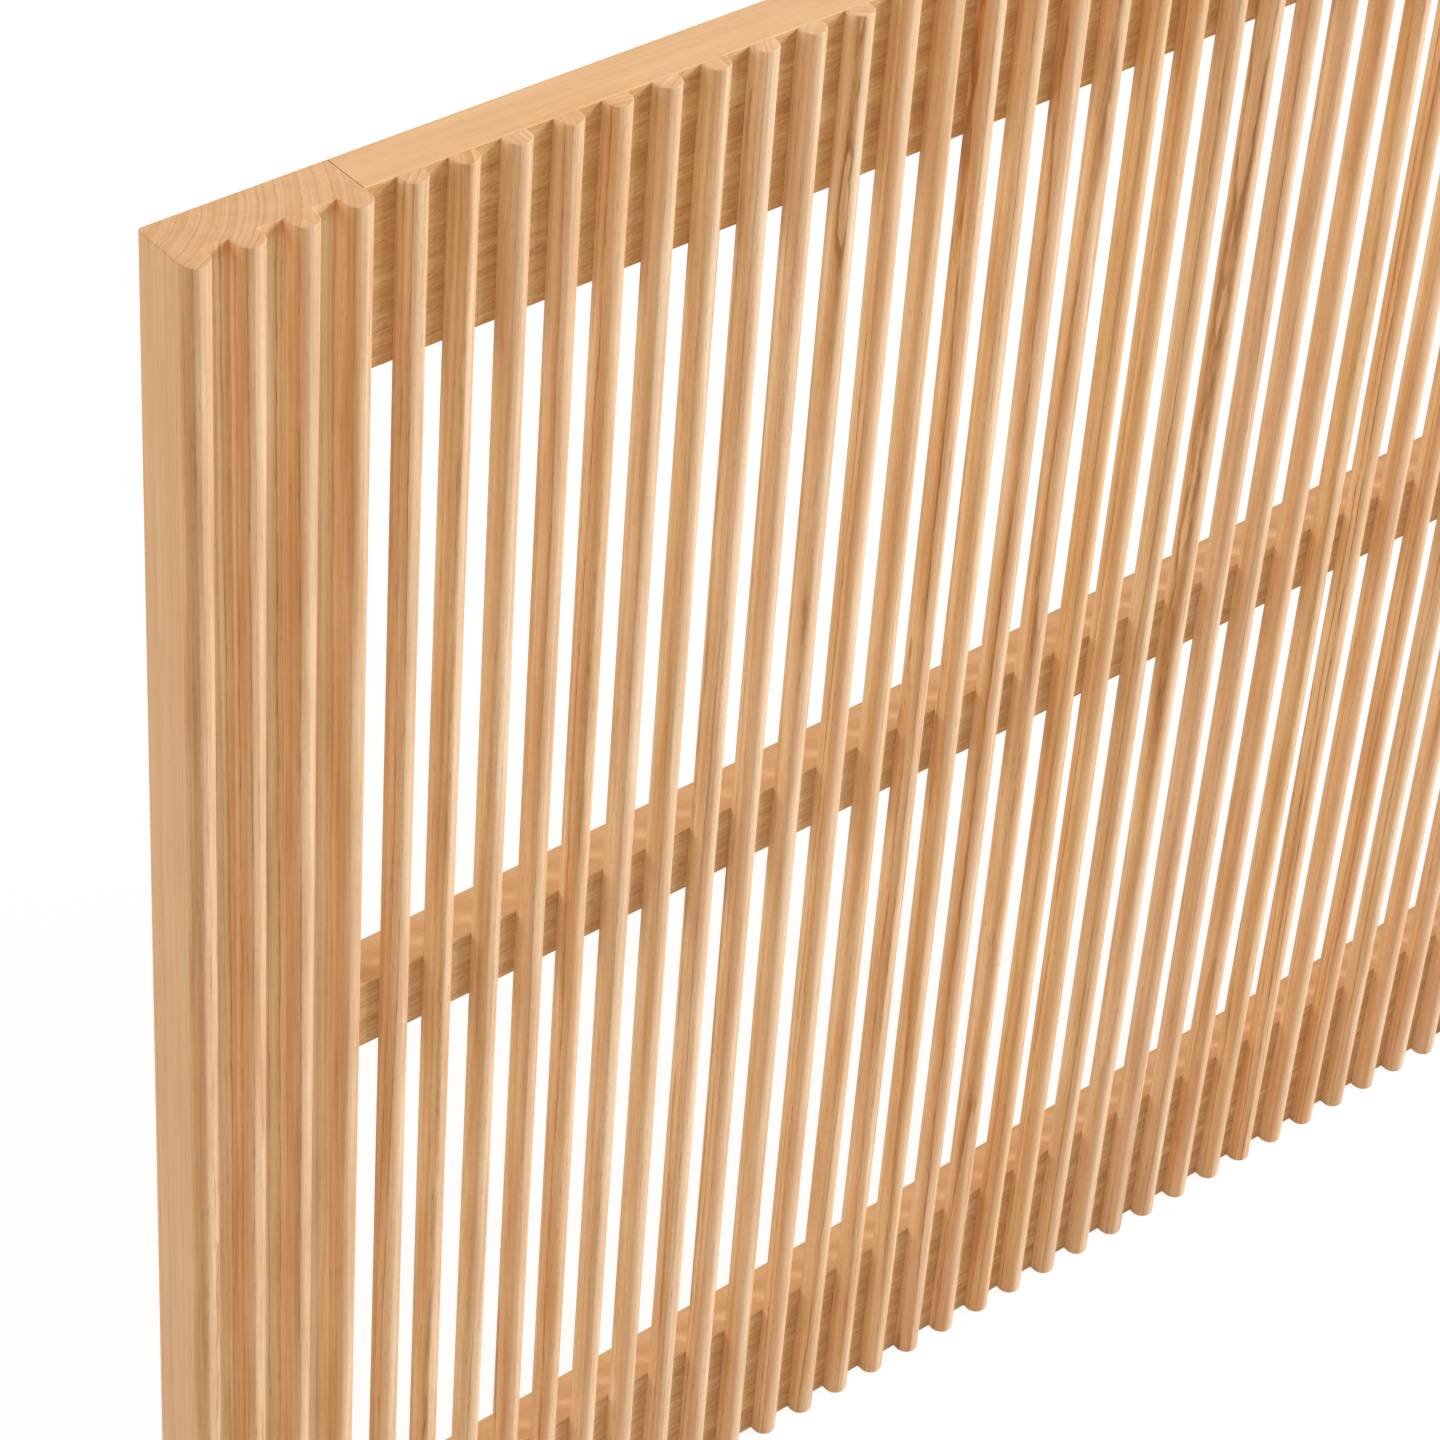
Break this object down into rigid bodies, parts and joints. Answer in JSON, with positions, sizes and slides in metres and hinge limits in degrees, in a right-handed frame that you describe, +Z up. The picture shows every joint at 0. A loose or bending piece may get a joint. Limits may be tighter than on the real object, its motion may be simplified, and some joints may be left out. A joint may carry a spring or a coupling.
{
  "type": "slatted headboard",
  "caption": "Wide wooden headboard: two ridged stiles and three rails carrying a row of upright round-nosed slats, with threaded inserts in the back for fixing it.",
  "frame": {"origin": "middle of the width and depth, on the floor", "axes": "+X to the right seen from the front, +Y from the ridged front to the flat back, +Z up"},
  "size_m": [1.687, 0.048, 1.174],
  "materials": {
    "frame_wood": "oiled, satin",
    "slat_wood": "oiled, satin",
    "dowel_wood": "plain",
    "screw_steel": "zinc plated",
    "insert_brass": "turned"
  },
  "bodies": {
    "root": {"left_stile": "frame_wood", "right_stile": "frame_wood", "top_rail": "frame_wood", "mid_rail": "frame_wood", "bottom_rail": "frame_wood", "slat_01": "slat_wood", "slat_02": "slat_wood", "slat_03": "slat_wood", "slat_04": "slat_wood", "slat_05": "slat_wood", "slat_06": "slat_wood", "slat_07": "slat_wood", "slat_08": "slat_wood", "slat_09": "slat_wood", "slat_10": "slat_wood", "slat_11": "slat_wood", "slat_12": "slat_wood", "slat_13": "slat_wood", "slat_14": "slat_wood", "slat_15": "slat_wood", "slat_16": "slat_wood", "slat_17": "slat_wood", "slat_18": "slat_wood", "slat_19": "slat_wood", "slat_20": "slat_wood", "slat_21": "slat_wood", "slat_22": "slat_wood", "slat_23": "slat_wood", "slat_24": "slat_wood", "slat_25": "slat_wood", "slat_26": "slat_wood", "slat_27": "slat_wood", "slat_28": "slat_wood", "slat_29": "slat_wood", "slat_30": "slat_wood", "slat_31": "slat_wood", "slat_32": "slat_wood", "slat_33": "slat_wood", "slat_34": "slat_wood", "slat_35": "slat_wood", "slat_36": "slat_wood", "slat_37": "slat_wood", "slat_38": "slat_wood", "slat_39": "slat_wood", "slat_40": "slat_wood", "slat_41": "slat_wood", "slat_42": "slat_wood", "rail_dowels": "dowel_wood", "slat_screws": "screw_steel", "fixing_inserts": "insert_brass"}
  },
  "joints": []
}
